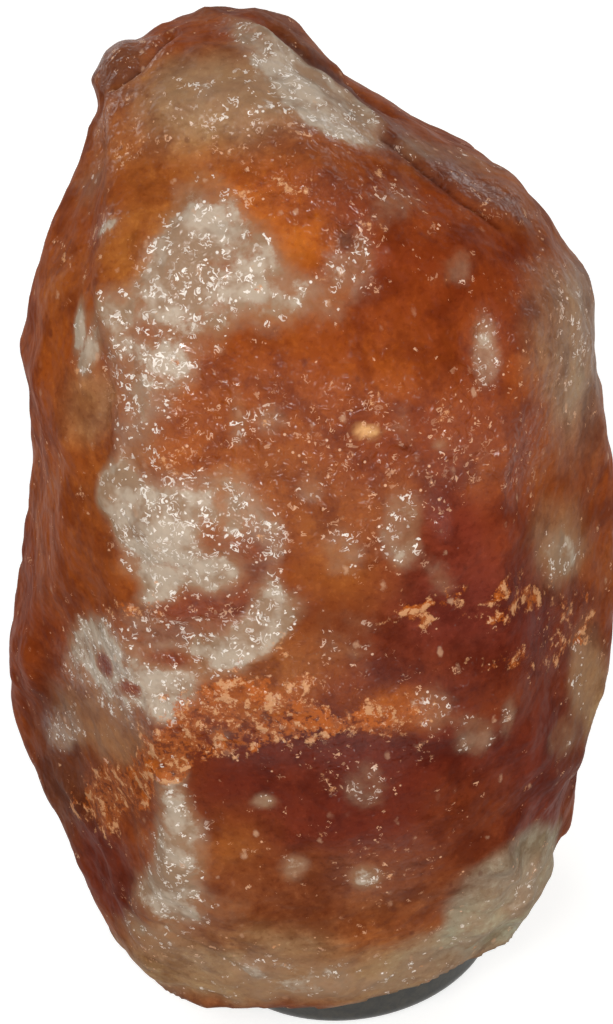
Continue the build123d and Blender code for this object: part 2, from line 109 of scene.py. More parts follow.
point_count = len(lump.vertices)
points = np.zeros(point_count * 3)
lump.vertices.foreach_get("co", points)
points = points.reshape(-1, 3)
facing = np.zeros(point_count * 3)
lump.vertices.foreach_get("normal", facing)
facing = facing.reshape(-1, 3)
surface = BVHTree.FromPolygons([tuple(p) for p in points], [tuple(f.vertices) for f in lump.polygons])


def rough_field(size, seed):
    """Even noise of about -1 to 1 at every point of the lump, with lumps of that size in metres."""
    shift = Vector((seed * 3.1, seed * 1.7, seed * 2.3))
    return np.array([noise.noise(Vector(p) / size + shift) for p in points])


def soft_step(value, low, high):
    """0 below low, 1 above high and a smooth rise between them."""
    t = np.clip((value - low) / (high - low), 0, 1)
    return t * t * (3 - 2 * t)


def lump_point(across, down):
    """The point of the lump that the viewer sees at that place in the picture."""
    sideways = view_right * (across - picture_width / 2)
    ray = view_forward * focal_pixels + sideways - view_up * (down - picture_height / 2)
    ray.normalize()
    hit = surface.ray_cast(eye, ray)[0]
    return np.array(hit if hit else surface.find_nearest(eye + ray * camera_distance)[0])


# The edge of every patch wanders. Each wander: its size in metres, its first seed and its reach in
# metres. Patches that are narrower or lower than the half size given here wander less.
wanders = ((0.013, 1, 0.0024), (0.0042, 10, 0.0014))
full_wander_pixels = 36
seam_wander = 0.3
least_patch_depth = 0.006
drift = np.zeros((point_count, 3))
for axis in range(3):
    for size, first_seed, reach in wanders:
        drift[:, axis] += rough_field(size, first_seed + axis) * reach


def patch_depth(across, down, half_width, half_height, turn):
    """How far inside an oval patch each point lies, in millimetres."""
    angle = math.radians(turn)
    along = np.array(view_right * math.cos(angle) + view_up * math.sin(angle))
    athwart = np.array(view_up * math.cos(angle) - view_right * math.sin(angle))
    wander = drift * min(1, min(half_width, half_height) / full_wander_pixels)
    offset = points + wander - lump_point(across, down)
    wide, high = half_width * pixel_size, half_height * pixel_size
    deep = 2 * max(wide, high) + least_patch_depth
    reach = (offset @ along / wide) ** 2 + (offset @ athwart / high) ** 2
    reach += (offset @ np.array(view_forward) / deep) ** 2
    return (1 - np.sqrt(reach)) * min(wide, high) / millimetre


def cover(patches):
    """How much of each point the patches cover, 0 to 1. Where patches overlap they add up."""
    bare = np.ones(point_count)
    for across, down, half_width, half_height, turn, strength, softness in patches:
        depth = patch_depth(across, down, half_width, half_height, turn)
        bare = bare * (1 - strength * soft_step(depth, -softness, softness))
    return 1 - bare


def seam_distance(places):
    """How far each point lies, in millimetres, from a broken line through places of the picture."""
    line = [lump_point(*place) for place in places]
    nearest = np.ones(point_count)
    wandering = points + drift * seam_wander
    for start, end in zip(line, line[1:]):
        run = end - start
        share = np.clip((wandering - start) @ run / (run @ run), 0, 1)
        gap = np.linalg.norm(wandering - start - share[:, None] * run, axis=1)
        nearest = np.minimum(nearest, gap)
    return nearest / millimetre


# Every patch below is written as its place across and down in the picture, its half width and
# half height in pixels, its turn in degrees, its strength of 0 to 1 and its edge's softness in
# millimetres. Here the iron crust breaks out of the salt.
crusty = cover((
    # the long seam from the left shoulder of the foot to the middle
    (215, 738, 84, 18, 10, 0.85, 4), (200, 708, 44, 20, 14, 0.7, 4), (282, 716, 40, 26, 10, 0.6, 4),
    (332, 726, 26, 12, 0, 0.7, 3), (394, 711, 34, 16, 6, 0.85, 3), (355, 690, 44, 12, 8, 0.4, 3),
    (122, 790, 52, 28, 18, 1.0, 3), (165, 765, 40, 20, 0, 0.8, 2.5), (95, 815, 34, 18, -35, 0.6, 2.5),
    (262, 680, 40, 34, 12, 0.5, 4), (360, 725, 60, 10, -10, 0.45, 2),
    # the broken seam on the right
    (515, 600, 44, 20, 14, 0.46, 2), (396, 616, 24, 8, 30, 0.46, 2), (572, 620, 34, 26, -10, 0.50, 2),
    (530, 661, 44, 14, 0, 0.46, 2), (455, 600, 60, 16, 30, 0.36, 2.5), (500, 672, 30, 12, 0, 0.4, 2),
    (545, 600, 30, 12, 0, 0.4, 2),
    # small spots
    (170, 458, 30, 10, 0, 0.35, 2), (275, 192, 44, 14, 0, 0.4, 2.5), (150, 610, 40, 12, 0, 0.3, 2),
))

# The relief, in millimetres along the surface's own direction. Each swell of it: its size in metres,
# its seed and its height. Soft ridges, the crust's grit, knocks and seams come on top.
swells = ((0.026, 21, 0.7), (0.011, 22, 0.75), (0.005, 23, 0.36), (0.0032, 26, 0.14))
relief = sum(rough_field(size, seed) * height for size, seed, height in swells)
ridge_height, ridge_middle = 0.9, 0.25
relief += (ridge_middle - np.abs(rough_field(0.015, 24))) * ridge_height
grit_height, crust_height = 0.55, 0.25
relief += crusty * (rough_field(0.0034, 25) * grit_height + crust_height)
# Each knock: its place in the picture, half width, half height, turn, and its push in millimetres.
knocks = (
    # the crest and the left outline
    (118, 58, 24, 30, 0, 2.0), (126, 44, 22, 14, 20, 1.6), (92, 100, 16, 30, 12, -2.2),
    (72, 165, 16, 30, 0, 1.4), (40, 256, 14, 24, 0, 1.6), (28, 340, 14, 34, 0, -1.0),
    (8, 675, 18, 50, 0, 1.8), (24, 420, 14, 40, 0, 0.9), (110, 930, 26, 22, -45, 1.2),
    # the right outline and the foot
    (400, 105, 60, 20, -28, -1.8), (570, 250, 40, 22, -50, -1.2), (600, 330, 14, 40, 0, 0.9),
    (562, 850, 20, 40, 0, -2.0), (548, 888, 22, 34, 30, 1.6), (500, 940, 40, 20, 35, -1.4),
    (200, 1000, 50, 14, -10, -1.4),
    # hard knots of milky salt on the front
    (365, 878, 20, 18, 0, 0.5), (485, 350, 16, 38, 0, -0.5), (352, 256, 22, 32, 0, 0.5),
    (365, 785, 20, 26, 0, 0.5), (165, 520, 60, 60, 0, 0.8), (190, 262, 50, 60, 0, 0.6),
    (140, 680, 50, 50, 0, 0.6), (180, 860, 30, 80, 0, 0.7),
)
rim_share = 0.16
for across, down, half_width, half_height, turn, push in knocks:
    rim = rim_share * min(half_width, half_height)
    relief += push * soft_step(patch_depth(across, down, half_width, half_height, turn), 0, rim)
# Each seam: its half width and its push in millimetres, then the places that it runs through.
seams = (
    (1.2, -1.9, (116, 86), (136, 69), (152, 53), (170, 36)),
    (1.7, 0.8, (205, 10), (240, 25), (268, 39), (300, 65), (345, 94), (380, 126)),
    (2.2, -1.5, (276, 27), (312, 57), (352, 83), (386, 112)),
    (1.1, -1.1, (385, 136), (430, 172), (457, 200), (502, 226)),
    (2.4, 0.8, (100, 262), (115, 330), (122, 400), (120, 470), (106, 500)),
    (1.8, -0.4, (96, 300), (100, 350), (108, 420)),
    (0.9, -0.9, (152, 916), (180, 936), (215, 955), (245, 975)),
    (1.0, -0.8, (180, 631), (225, 618), (268, 603)),
    (1.0, -0.6, (150, 470), (200, 486), (236, 500)),
    (2.4, 0.8, (60, 775), (108, 850), (134, 930)),
    (1.2, -0.7, (470, 960), (500, 915), (545, 870)),
)
# The deepest seams are marked for painted shade in the colour.
deep_seam = -1
shade_in_creases = np.zeros(point_count)
for half_width, push, *places in seams:
    near = np.exp(-((seam_distance(places) / half_width) ** 2))
    relief += push * near
    if push < deep_seam:
        shade_in_creases = np.maximum(shade_in_creases, near)

# The bore stays round and smooth, and the sawn face stays flat: the relief's upward share fades
# out just above it.
axis_distance = np.hypot(points[:, 0], points[:, 1])
height = points[:, 2]
in_bore = (axis_distance < bore_wall + 2 * crystal_voxel) & (height < bore_roof + 2 * crystal_voxel)
relief[in_bore] = 0
fade_start, fade_end = 0.0005, 0.006
sideways = np.ones(point_count)
upwards = soft_step(height - sawn_height, fade_start, fade_end)
push_shares = np.stack([sideways, sideways, upwards], axis=1)
moved = points + facing * relief[:, None] * millimetre * push_shares
bored = in_bore & (height < bore_roof - bore_roof_edge)
moved[bored, :2] *= (bore_wall / axis_distance[bored])[:, None]
moved[height < sawn_height + 0.6 * crystal_voxel, 2] = sawn_height
lump.vertices.foreach_set("co", moved.ravel())
lump.polygons.foreach_set("use_smooth", np.ones(len(lump.polygons), bool))
lump.update()


def tone(red, green, blue):
    """A colour as it shows on a screen, 0 to 255, turned into the values that materials take."""
    shares = (red / 255, green / 255, blue / 255)
    return tuple(((s + 0.055) / 1.055) ** 2.4 if s > 10 / 255 else s / 12.92 for s in shares)


amber, rust, maroon, umber = tone(136, 64, 20), tone(122, 46, 12), tone(100, 34, 16), tone(86, 44, 24)
orange, gold, beige = tone(180, 90, 20), tone(160, 92, 38), tone(158, 122, 86)
grey_salt, pale_grey = tone(152, 138, 116), tone(170, 152, 126)
brown, clay_red, deep_clay, yellow_grain = (
    tone(118, 62, 36), tone(112, 40, 28), tone(104, 40, 30), tone(214, 158, 100))

# The amber mass drifts between amber and rust. The bands of clay run on round the back.
drifting_tone = rough_field(0.032, 31) + 0.5 * rough_field(0.011, 32)
rusted = 0.6 * soft_step(drifting_tone, -0.35, 0.55)[:, None]
tint = np.array(amber) * (1 - rusted) + np.array(rust) * rusted
rear = soft_step(facing @ np.array(view_forward), 0.0, 0.4)
rise = height - sawn_height + rough_field(0.030, 33) * 0.016
clay_starts, clay_ends = (0.022, 0.036), (0.078, 0.098)
foot_ends, head_starts = (0.008, 0.030), (0.140, 0.175)
clay_band = rear * soft_step(rise, *clay_starts) * (1 - soft_step(rise, *clay_ends))
pale_foot = rear * (1 - soft_step(rise, *foot_ends))
pale_head = rear * soft_step(rise, *head_starts) * 0.6
for colour, share in ((maroon, clay_band), (beige, pale_foot), (beige, pale_head)):
    tint = tint * (1 - share[:, None]) + np.array(colour) * share[:, None]
# Each stain is its tone and its patch. Later stains lie over earlier ones.
stains = (
    # the rusty right half, the band of clay across the middle, and the dark lower left
    (rust, 430, 330, 130, 120, 0, 0.7, 9), (rust, 400, 290, 60, 40, 0, 0.6, 5),
    (maroon, 460, 645, 170, 62, -4, 0.85, 6), (rust, 460, 560, 110, 50, 0, 0.7, 6),
    (maroon, 410, 790, 210, 86, 0, 1.0, 6), (maroon, 290, 770, 80, 62, 0, 0.8, 5),
    (maroon, 545, 765, 66, 86, 0, 0.9, 5), (amber, 470, 820, 50, 40, 0, 0.35, 6),
    (umber, 60, 745, 34, 60, 20, 0.7, 4), (umber, 70, 810, 30, 50, 30, 0.7, 4),
    (maroon, 112, 872, 40, 62, 28, 0.9, 3),
    # the pale foot
    (beige, 370, 972, 210, 46, -6, 0.85, 5), (beige, 200, 955, 100, 38, 12, 0.55, 5),
    (gold, 340, 905, 90, 30, 5, 0.4, 5), (orange, 366, 938, 26, 16, 0, 0.6, 4),
    (gold, 235, 880, 40, 60, 0, 0.35, 5), (grey_salt, 516, 896, 84, 60, 42, 1.0, 2.0),
    # the pale head and the orange under it
    (gold, 130, 112, 40, 62, 8, 0.55, 4), (beige, 225, 102, 74, 52, 0, 0.85, 5),
    (gold, 250, 160, 130, 22, 0, 0.25, 4), (gold, 146, 245, 34, 46, 0, 0.7, 4),
    (orange, 262, 202, 56, 30, -32, 0.85, 4), (orange, 296, 232, 30, 20, -50, 0.5, 3),
    (rust, 330, 190, 70, 40, 0, 0.4, 5), (umber, 118, 60, 26, 34, 0, 0.55, 2.5),
    (gold, 115, 55, 20, 24, 0, 0.35, 2), (umber, 212, 10, 60, 12, 4, 0.5, 2),
    # The two dark strips along the ledges below the crest are painted shade.
    (umber, 322, 62, 92, 11, -46, 0.75, 1.6), (umber, 452, 172, 96, 18, -30, 0.65, 3),
    # the two edges of the front
    (rust, 50, 380, 34, 170, 0, 0.4, 6), (beige, 84, 405, 30, 32, 0, 0.55, 3),
    (grey_salt, 585, 345, 34, 84, 0, 0.55, 5), (beige, 556, 330, 30, 60, 0, 0.4, 4),
    (beige, 560, 545, 36, 42, 0, 0.5, 4), (beige, 592, 690, 20, 56, 8, 0.8, 2.5),
    (umber, 574, 760, 24, 60, 10, 0.4, 4),
    # warm glows and dark bands beside the milky salt and the crust
    (gold, 175, 490, 130, 30, 0, 0.35, 5), (orange, 186, 460, 40, 18, 0, 0.35, 3),
    (orange, 235, 500, 18, 24, 0, 0.5, 2), (gold, 250, 672, 74, 30, 14, 0.6, 4),
    (orange, 240, 700, 50, 18, 0, 0.5, 3), (orange, 396, 710, 34, 17, 0, 0.9, 3),
    (gold, 345, 555, 60, 60, 0, 0.3, 5), (gold, 400, 530, 30, 50, 0, 0.4, 4),
    (orange, 300, 360, 160, 60, 0, 0.2, 8), (beige, 95, 716, 54, 38, 0, 0.4, 4),
    (gold, 540, 210, 60, 40, -40, 0.2, 5), (maroon, 500, 620, 70, 40, 0, 0.5, 5),
    (orange, 52, 380, 30, 150, 0, 0.35, 6), (maroon, 332, 740, 60, 24, 6, 0.6, 4),
    # streaks in the pale foot
    (amber, 330, 880, 110, 30, 0, 0.4, 5), (amber, 232, 948, 42, 12, -22, 0.5, 3),
    (amber, 150, 962, 34, 12, -34, 0.5, 3), (umber, 214, 966, 34, 7, -32, 0.5, 2),
    (gold, 330, 962, 40, 12, 0, 0.4, 3), (amber, 410, 948, 44, 10, -14, 0.4, 3),
    # small spots, and red windows in the milky salt
    (beige, 120, 745, 40, 20, 0, 0.35, 3), (yellow_grain, 367, 430, 11, 6, -8, 1.0, 0.5),
    (umber, 345, 240, 8, 8, 0, 0.85, 1.2), (gold, 200, 152, 90, 18, 0, 0.35, 4),
    (rust, 105, 664, 9, 11, 20, 0.9, 1.0), (rust, 131, 688, 9, 6, -20, 0.9, 1.0),
    (rust, 176, 611, 26, 9, 6, 0.7, 1.5), (rust, 173, 660, 22, 8, -6, 0.7, 1.5),
    (gold, 100, 735, 40, 30, 0, 0.25, 4), (umber, 60, 700, 20, 40, 8, 0.3, 3),
    (gold, 60, 300, 20, 40, 0, 0.25, 4), (amber, 300, 130, 60, 14, -10, 0.3, 3),
    # the brown above the foot, its lower edge, and the red clay on the right
    (brown, 340, 890, 150, 40, 0, 0.75, 6), (beige, 180, 978, 110, 34, 0, 0.8, 4),
    (grey_salt, 448, 952, 56, 26, 22, 0.7, 4), (clay_red, 440, 556, 60, 64, 0, 0.7, 6),
    (deep_clay, 490, 600, 90, 40, 10, 0.5, 6), (pale_grey, 520, 896, 60, 44, 42, 0.6, 3),
)
for colour, *patch in stains:
    share = cover([patch])[:, None]
    tint = tint * (1 - share) + np.array(colour) * share

# Milky salt, thick where the strength is 1 and a thin veil where it is small.
milky = cover((
    # the strip down the crest, and the head
    (262, 46, 40, 15, -42, 0.7, 2), (305, 84, 54, 26, -42, 1.0, 2.5), (344, 116, 44, 22, -38, 1.0, 2),
    (238, 88, 66, 44, 0, 0.45, 5), (322, 102, 52, 24, -42, 1.0, 2), (284, 62, 52, 20, -42, 0.6, 3),
    (90, 185, 20, 24, 0, 0.35, 3),
    # the upper cloud
    (205, 212, 32, 40, 12, 0.5, 3), (186, 262, 32, 44, 0, 1.0, 3), (236, 248, 52, 32, -14, 0.72, 3.5),
    (250, 292, 66, 30, -8, 0.62, 3.5), (192, 306, 52, 32, 0, 0.7, 3.5), (305, 296, 50, 16, -8, 0.42, 3),
    (140, 315, 40, 30, 0, 0.6, 3.5), (110, 330, 18, 30, 0, 0.45, 2.5), (107, 227, 12, 5, 30, 1.0, 0.5),
    (81, 325, 7, 24, -8, 1.0, 0.7), (90, 356, 8, 20, -16, 0.85, 0.9), (152, 366, 38, 32, 0, 0.72, 3),
    (142, 430, 22, 44, 0, 0.55, 3),
    # the middle cloud
    (122, 492, 22, 28, 0, 1.0, 2), (160, 514, 48, 38, 0, 1.0, 2.5), (176, 560, 52, 32, 0, 0.9, 2.5),
    (160, 596, 20, 22, 16, 0.8, 2), (226, 506, 26, 30, 0, 0.7, 2.5), (214, 572, 36, 22, 0, 0.65, 2.5),
    (258, 532, 24, 38, 14, 0.5, 2),
    # the lower cloud, from the left edge up to the middle
    (96, 640, 30, 22, 0, 0.8, 2), (268, 600, 16, 22, 0, 0.9, 2), (262, 630, 42, 18, 32, 0.95, 2),
    (214, 657, 38, 20, 30, 0.85, 2.5), (175, 640, 60, 34, 0, 0.4, 3), (95, 650, 36, 36, 0, 0.95, 2.5),
    (160, 690, 36, 36, 0, 1.0, 2.5), (120, 676, 40, 32, 0, 0.65, 3), (60, 736, 24, 16, 0, 0.6, 2),
    (100, 725, 52, 34, 0, 0.4, 4),
    # the column that runs down to the foot
    (174, 808, 18, 52, 0, 0.85, 2.5), (180, 850, 26, 40, 0, 0.95, 3), (172, 892, 34, 32, 0, 0.9, 3),
    (150, 930, 38, 18, 0, 0.7, 3), (200, 905, 50, 24, 0, 0.35, 4),
    # knots and spots on the front
    (294, 866, 14, 13, 0, 0.7, 2), (368, 877, 16, 14, 0, 0.8, 2), (485, 350, 12, 33, 4, 0.62, 1.8),
    (340, 552, 20, 24, 0, 0.5, 2), (402, 530, 20, 38, 0, 0.6, 1.6), (395, 208, 22, 18, 0, 0.35, 3),
    (455, 268, 16, 15, 0, 0.4, 2), (352, 262, 20, 28, 0, 0.55, 2), (310, 486, 12, 14, 0, 0.45, 2),
    (270, 420, 18, 16, 0, 0.35, 2), (238, 420, 8, 24, 0, 0.5, 1.5), (440, 574, 16, 16, 0, 0.35, 2),
    (475, 735, 20, 24, 0, 0.5, 2), (436, 708, 24, 20, 0, 0.4, 2.5), (508, 715, 7, 24, 0, 0.45, 1.5),
    (365, 785, 18, 26, 0, 0.4, 2), (440, 446, 8, 6, 0, 0.6, 1.2), (404, 425, 10, 22, 0, 0.3, 2),
    (262, 804, 12, 7, 0, 0.7, 1.2), (345, 640, 30, 30, 0, 0.25, 3), (220, 735, 12, 8, 0, 0.5, 1.5),
    # the right edge
    (562, 552, 30, 32, 0, 0.5, 3), (561, 551, 15, 20, 10, 0.8, 1.6), (565, 736, 18, 22, 0, 0.45, 2),
    (582, 680, 14, 40, 8, 0.6, 2), (420, 150, 20, 9, -20, 0.55, 1.5), (470, 162, 34, 12, -22, 0.4, 2),
    (575, 330, 22, 70, 0, 0.4, 4),
    # the foot
    (250, 968, 14, 10, 0, 0.6, 1.5), (512, 900, 56, 40, 42, 0.45, 4), (340, 978, 120, 22, -5, 0.6, 4),
    (236, 992, 80, 14, 4, 0.5, 3), (440, 950, 50, 24, 20, 0.4, 4), (300, 986, 60, 12, -4, 0.5, 3),
))
rear_milk = rear * soft_step(rough_field(0.024, 41) + 0.4 * rough_field(0.009, 42), 0.05, 0.5)
milky = np.maximum(milky, rear_milk * 0.85)
# Clear windows in the milky salt, through which the red mass shows.
milky *= 1 - cover((
    (105, 664, 10, 12, 20, 1.0, 0.8), (131, 688, 10, 7, -20, 1.0, 0.8), (176, 611, 28, 9, 6, 0.9, 1.5),
    (173, 660, 24, 8, -6, 0.9, 1.5), (345, 240, 9, 9, 0, 1.0, 1.2), (172, 478, 26, 10, 0, 0.6, 2),
    (212, 540, 12, 16, 20, 0.5, 2), (84, 690, 10, 8, 0, 0.7, 1.2), (150, 330, 16, 8, 0, 0.5, 2),
    (225, 268, 12, 8, 0, 0.5, 2), (250, 560, 12, 26, 10, 0.6, 2),
))

# Where damp has left the salt glassy, so that it glints: the coat is thicker there, and painted glints
# lie closer together.
glassy = cover((
    # on the clouds of milky salt
    (150, 362, 50, 44, 0, 1.0, 4), (190, 270, 44, 50, 0, 0.8, 4), (180, 530, 62, 52, 0, 0.8, 4),
    (258, 530, 26, 40, 15, 1.0, 2), (222, 616, 74, 26, 10, 1.0, 3), (110, 664, 60, 40, 0, 0.9, 4),
    (160, 705, 40, 30, 0, 0.6, 4), (155, 368, 34, 28, 0, 1.0, 2), (106, 226, 20, 12, 30, 0.9, 2),
    (60, 730, 26, 24, 0, 0.8, 2), (180, 860, 40, 80, 0, 0.3, 5),
    # across the middle
    (240, 425, 120, 60, 0, 0.7, 5), (400, 440, 90, 55, 0, 0.55, 5), (482, 455, 60, 44, 0, 0.6, 4),
    (330, 520, 70, 44, 0, 0.55, 4), (438, 512, 10, 22, 20, 0.9, 1.2), (470, 462, 22, 22, 0, 0.8, 2),
    (352, 250, 26, 36, 0, 0.7, 2), (485, 350, 20, 40, 0, 0.6, 2), (560, 350, 50, 90, 0, 0.45, 5),
    (558, 630, 50, 44, 0, 0.15, 4),
    # on the head and the crest
    (240, 132, 90, 30, 0, 0.65, 4), (300, 196, 70, 26, 0, 0.6, 4), (340, 132, 50, 16, 0, 0.6, 3),
    (270, 58, 62, 12, -38, 0.6, 2), (120, 128, 30, 40, 0, 0.5, 3), (130, 60, 36, 24, 20, 0.7, 2),
    (480, 190, 50, 14, -25, 0.7, 2),
    # below the crust
    (360, 760, 40, 40, 0, 0.25, 3), (300, 706, 150, 56, 0, 0.65, 5), (380, 870, 50, 40, 0, 0.4, 4),
    (510, 890, 30, 30, 0, 0.4, 3), (220, 960, 60, 20, 0, 0.4, 3), (330, 800, 110, 60, 0, 0.12, 5),
))
glassy = np.maximum(glassy, rear * soft_step(rough_field(0.020, 43), 0.0, 0.4) * 0.5)

tint_mark = lump.attributes.new("tint", "FLOAT_COLOR", "POINT")
tint_mark.data.foreach_set("color", np.hstack([tint, np.ones((point_count, 1))]).ravel())
for name, values in (("milk", milky), ("crust", crusty), ("glass", glassy), ("crease_shade", shade_in_creases)):
    lump.attributes.new(name, "FLOAT", "POINT").data.foreach_set("value", values)


def finish(name):
    """A new material: the material, its node tree and its shader."""
    made = bpy.data.materials.new(name)
    made.use_nodes = True
    return made, made.node_tree, made.node_tree.nodes["Principled BSDF"]


def feed(tree, node, inputs):
    """Give inputs of a node numbers or colours, or link the outputs of other nodes to them."""
    for key, value in inputs.items():
        if isinstance(value, bpy.types.NodeSocket):
            tree.links.new(value, node.inputs[key])
        else:
            node.inputs[key].default_value = value


def grow(tree, kind, inputs, **settings):
    """A new node with its settings and its inputs."""
    made = tree.nodes.new(kind)
    for key, value in settings.items():
        setattr(made, key, value)
    feed(tree, made, inputs)
    return made


def place_on(tree, stretch=(1, 1, 1)):
    """The place on the piece, in metres. Patterns run long where the stretch is small."""
    place = grow(tree, "ShaderNodeTexCoord", {}).outputs["Object"]
    return grow(tree, "ShaderNodeMapping", {"Vector": place, "Scale": stretch}).outputs[0]


def grain(tree, place, size, detail=3, roughness=0.55, distortion=0):
    """Even noise in grains of that size in metres."""
    look = {"Scale": 1 / size, "Detail": detail, "Roughness": roughness, "Distortion": distortion}
    return grow(tree, "ShaderNodeTexNoise", {"Vector": place, **look}).outputs["Fac"]


def work(tree, operation, a, b=0.0, c=0.0):
    """One sum on numbers or outputs."""
    return grow(tree, "ShaderNodeMath", {0: a, 1: b, 2: c}, operation=operation).outputs[0]


def times(tree, a, b):
    """The product of two numbers or outputs."""
    return work(tree, "MULTIPLY", a, b)


def plus(tree, a, factor, more):
    """A value times a factor, plus more."""
    return work(tree, "MULTIPLY_ADD", a, factor, more)


def span(tree, value, low, high, out_low=0.0, out_high=1.0):
    """A value stretched from one range to another, smoothly and without overshoot."""
    ends = {"From Min": low, "From Max": high, "To Min": out_low, "To Max": out_high}
    kind = "ShaderNodeMapRange"
    return grow(tree, kind, {"Value": value, **ends}, interpolation_type="SMOOTHSTEP").outputs[0]


def blend(tree, share, under, over, kind="MIX"):
    """Two colours mixed by a share, a number or an output."""
    made = grow(tree, "ShaderNodeMix", {}, data_type="RGBA", blend_type=kind)
    for socket, value in ((0, share), (6, under), (7, over)):
        feed(tree, made, {socket: (*value, 1) if isinstance(value, tuple) else value})
    return made.outputs[2]


def mark(tree, name):
    """A number that the mesh carries at each point."""
    return grow(tree, "ShaderNodeAttribute", {}, attribute_name=name).outputs["Fac"]


def ragged(tree, value, field, amount, low, high):
    """A cover of 0 to 1 broken up by noise, then cut to a share between two thresholds."""
    return span(tree, work(tree, "ADD", value, plus(tree, field, amount, -amount / 2)), low, high)


def raise_by(tree, height, depth, strength=1.0):
    """A normal that follows a height pattern, as deep as that in metres."""
    bump = {"Height": height, "Strength": strength, "Distance": depth}
    return grow(tree, "ShaderNodeBump", bump).outputs[0]


salt, tree, shader = finish("rock_salt")
place = grow(tree, "ShaderNodeTexCoord", {}).outputs["Object"]
swirl = grow(tree, "ShaderNodeTexNoise", {"Vector": place, "Scale": 90, "Detail": 2}).outputs["Color"]
swirled = {0: swirl, 1: (0.003, 0.003, 0.003), 2: place}
warped = grow(tree, "ShaderNodeVectorMath", swirled, operation="MULTIPLY_ADD").outputs[0]
mottle = grain(tree, warped, 0.0080, 4, 0.60)
cloud = grain(tree, warped, 0.019, 3, 0.6)
fine = grain(tree, place, 0.0014, 3, 0.65)
torn = grain(tree, warped, 0.0058, 6, 0.66)
colour = grow(tree, "ShaderNodeAttribute", {}, attribute_name="tint").outputs["Color"]
colour = blend(tree, span(tree, mottle, 0.44, 0.62), colour, (0.70, 0.60, 0.52), "MULTIPLY")
colour = blend(tree, span(tree, cloud, 0.48, 0.66), colour, (1.20, 1.34, 1.30), "MULTIPLY")
colour = blend(tree, span(tree, fine, 0.54, 0.66), colour, (1.16, 1.26, 1.34), "MULTIPLY")
colour = blend(tree, span(tree, fine, 0.46, 0.34), colour, (0.84, 0.76, 0.72), "MULTIPLY")

# Milky salt: a veil in the clear mass, and torn chalky clouds where it is thick.
milk = mark(tree, "milk")
veil = times(tree, ragged(tree, milk, torn, 0.9, 0.06, 0.85), 0.70)
veil_tone = blend(tree, span(tree, mottle, 0.35, 0.65), tone(150, 112, 80), tone(178, 144, 116))
colour = blend(tree, veil, colour, veil_tone)
chalk = times(tree, ragged(tree, milk, torn, 1.6, 0.60, 0.88), 0.90)
clot = grain(tree, warped, 0.0100, 4, 0.62)
chalk_tone = blend(tree, span(tree, clot, 0.42, 0.58), tone(150, 120, 94), tone(186, 168, 148))
colour = blend(tree, chalk, colour, chalk_tone)

# The crust is loose grit in four tones, from dark rust in its pores to pale grains on top; the dark
# pores are deepened with painted shade and the tops lightened with painted highlight, on the same crumb
# that raises the grains.
crumb = grain(tree, place, 0.0026, 5, 0.70)
grit_field = plus(tree, torn, 0.6, times(tree, crumb, 0.4))
crust = ragged(tree, mark(tree, "crust"), grit_field, 4.4, 0.50, 0.78)
grit_tone = blend(tree, span(tree, crumb, 0.41, 0.48), tone(104, 46, 22), tone(160, 82, 34))
grit_tone = blend(tree, span(tree, mottle, 0.50, 0.60), grit_tone, tone(184, 92, 24))
grit_tone = blend(tree, span(tree, crumb, 0.53, 0.59), grit_tone, tone(212, 153, 106))
colour = blend(tree, times(tree, crust, 0.9), colour, grit_tone)

# Painted shade darkens the deep seams.
crease_shade = times(tree, ragged(tree, mark(tree, "crease_shade"), torn, 0.8, 0.35, 1.1), 0.6)
colour = blend(tree, crease_shade, colour, tone(140, 96, 84), "MULTIPLY")

# Pale grains and dark specks lie in the mass; the pale specks, drawn long upright where the salt is
# patchy, are partly painted glints. Each cell draws its lot.
speck_cells = {"Vector": place_on(tree, (1, 1, 0.6)), "Scale": 330, "Randomness": 1.0}
specks = grow(tree, "ShaderNodeTexVoronoi", speck_cells)
speck_lot = grow(tree, "ShaderNodeSeparateColor", {0: specks.outputs["Color"]})
patchy = span(tree, cloud, 0.40, 0.60, 0.10, 1.0)
speck_reach = plus(tree, fine, 0.6, specks.outputs["Distance"])
pale_lot = work(tree, "GREATER_THAN", speck_lot.outputs[0], 0.78)
pale_speck_and_glint = times(tree, pale_lot, span(tree, speck_reach, 0.56, 0.36))
colour = blend(tree, times(tree, times(tree, pale_speck_and_glint, patchy), 0.6), colour, tone(206, 160, 126))
dark_lot = work(tree, "LESS_THAN", speck_lot.outputs[0], 0.10)
dark_speck = times(tree, dark_lot, span(tree, specks.outputs["Distance"], 0.26, 0.12))
dark_speck = times(tree, dark_speck, span(tree, milk, 0.3, 0.1))
colour = blend(tree, times(tree, dark_speck, 0.45), colour, tone(84, 34, 20))

# Painted glints: short curved white lines and dots lie close together where the salt is glassy and on
# the milky salt, painted into the colour for light glinting off the wet surface.
ripple = grain(tree, place, 0.0017, 1.5, 0.5, 1.4)
off_line = work(tree, "ABSOLUTE", work(tree, "SUBTRACT", ripple, 0.5))
glint_line = span(tree, off_line, 0.065, 0.025)
broken = grow(tree, "ShaderNodeTexVoronoi", {"Vector": place, "Scale": 960, "Randomness": 1.0})
glint_lot = grow(tree, "ShaderNodeSeparateColor", {0: broken.outputs["Color"]})
lit_share = plus(tree, mark(tree, "glass"), 0.26, plus(tree, torn, 1.5, -0.80))
lit_share = plus(tree, milk, 0.20, lit_share)
lit_glint_line = times(tree, glint_line, work(tree, "LESS_THAN", glint_lot.outputs[1], lit_share))
brightness = plus(tree, glint_lot.outputs[2], 0.85, plus(tree, milk, 0.25, 0.10))
dot_lot = work(tree, "LESS_THAN", glint_lot.outputs[0], plus(tree, lit_share, 0.16, 0.008))
glint_dot = times(tree, dot_lot, span(tree, broken.outputs["Distance"], 0.34, 0.18))
glint_line_or_dot = {0: times(tree, lit_glint_line, brightness), 1: glint_dot}
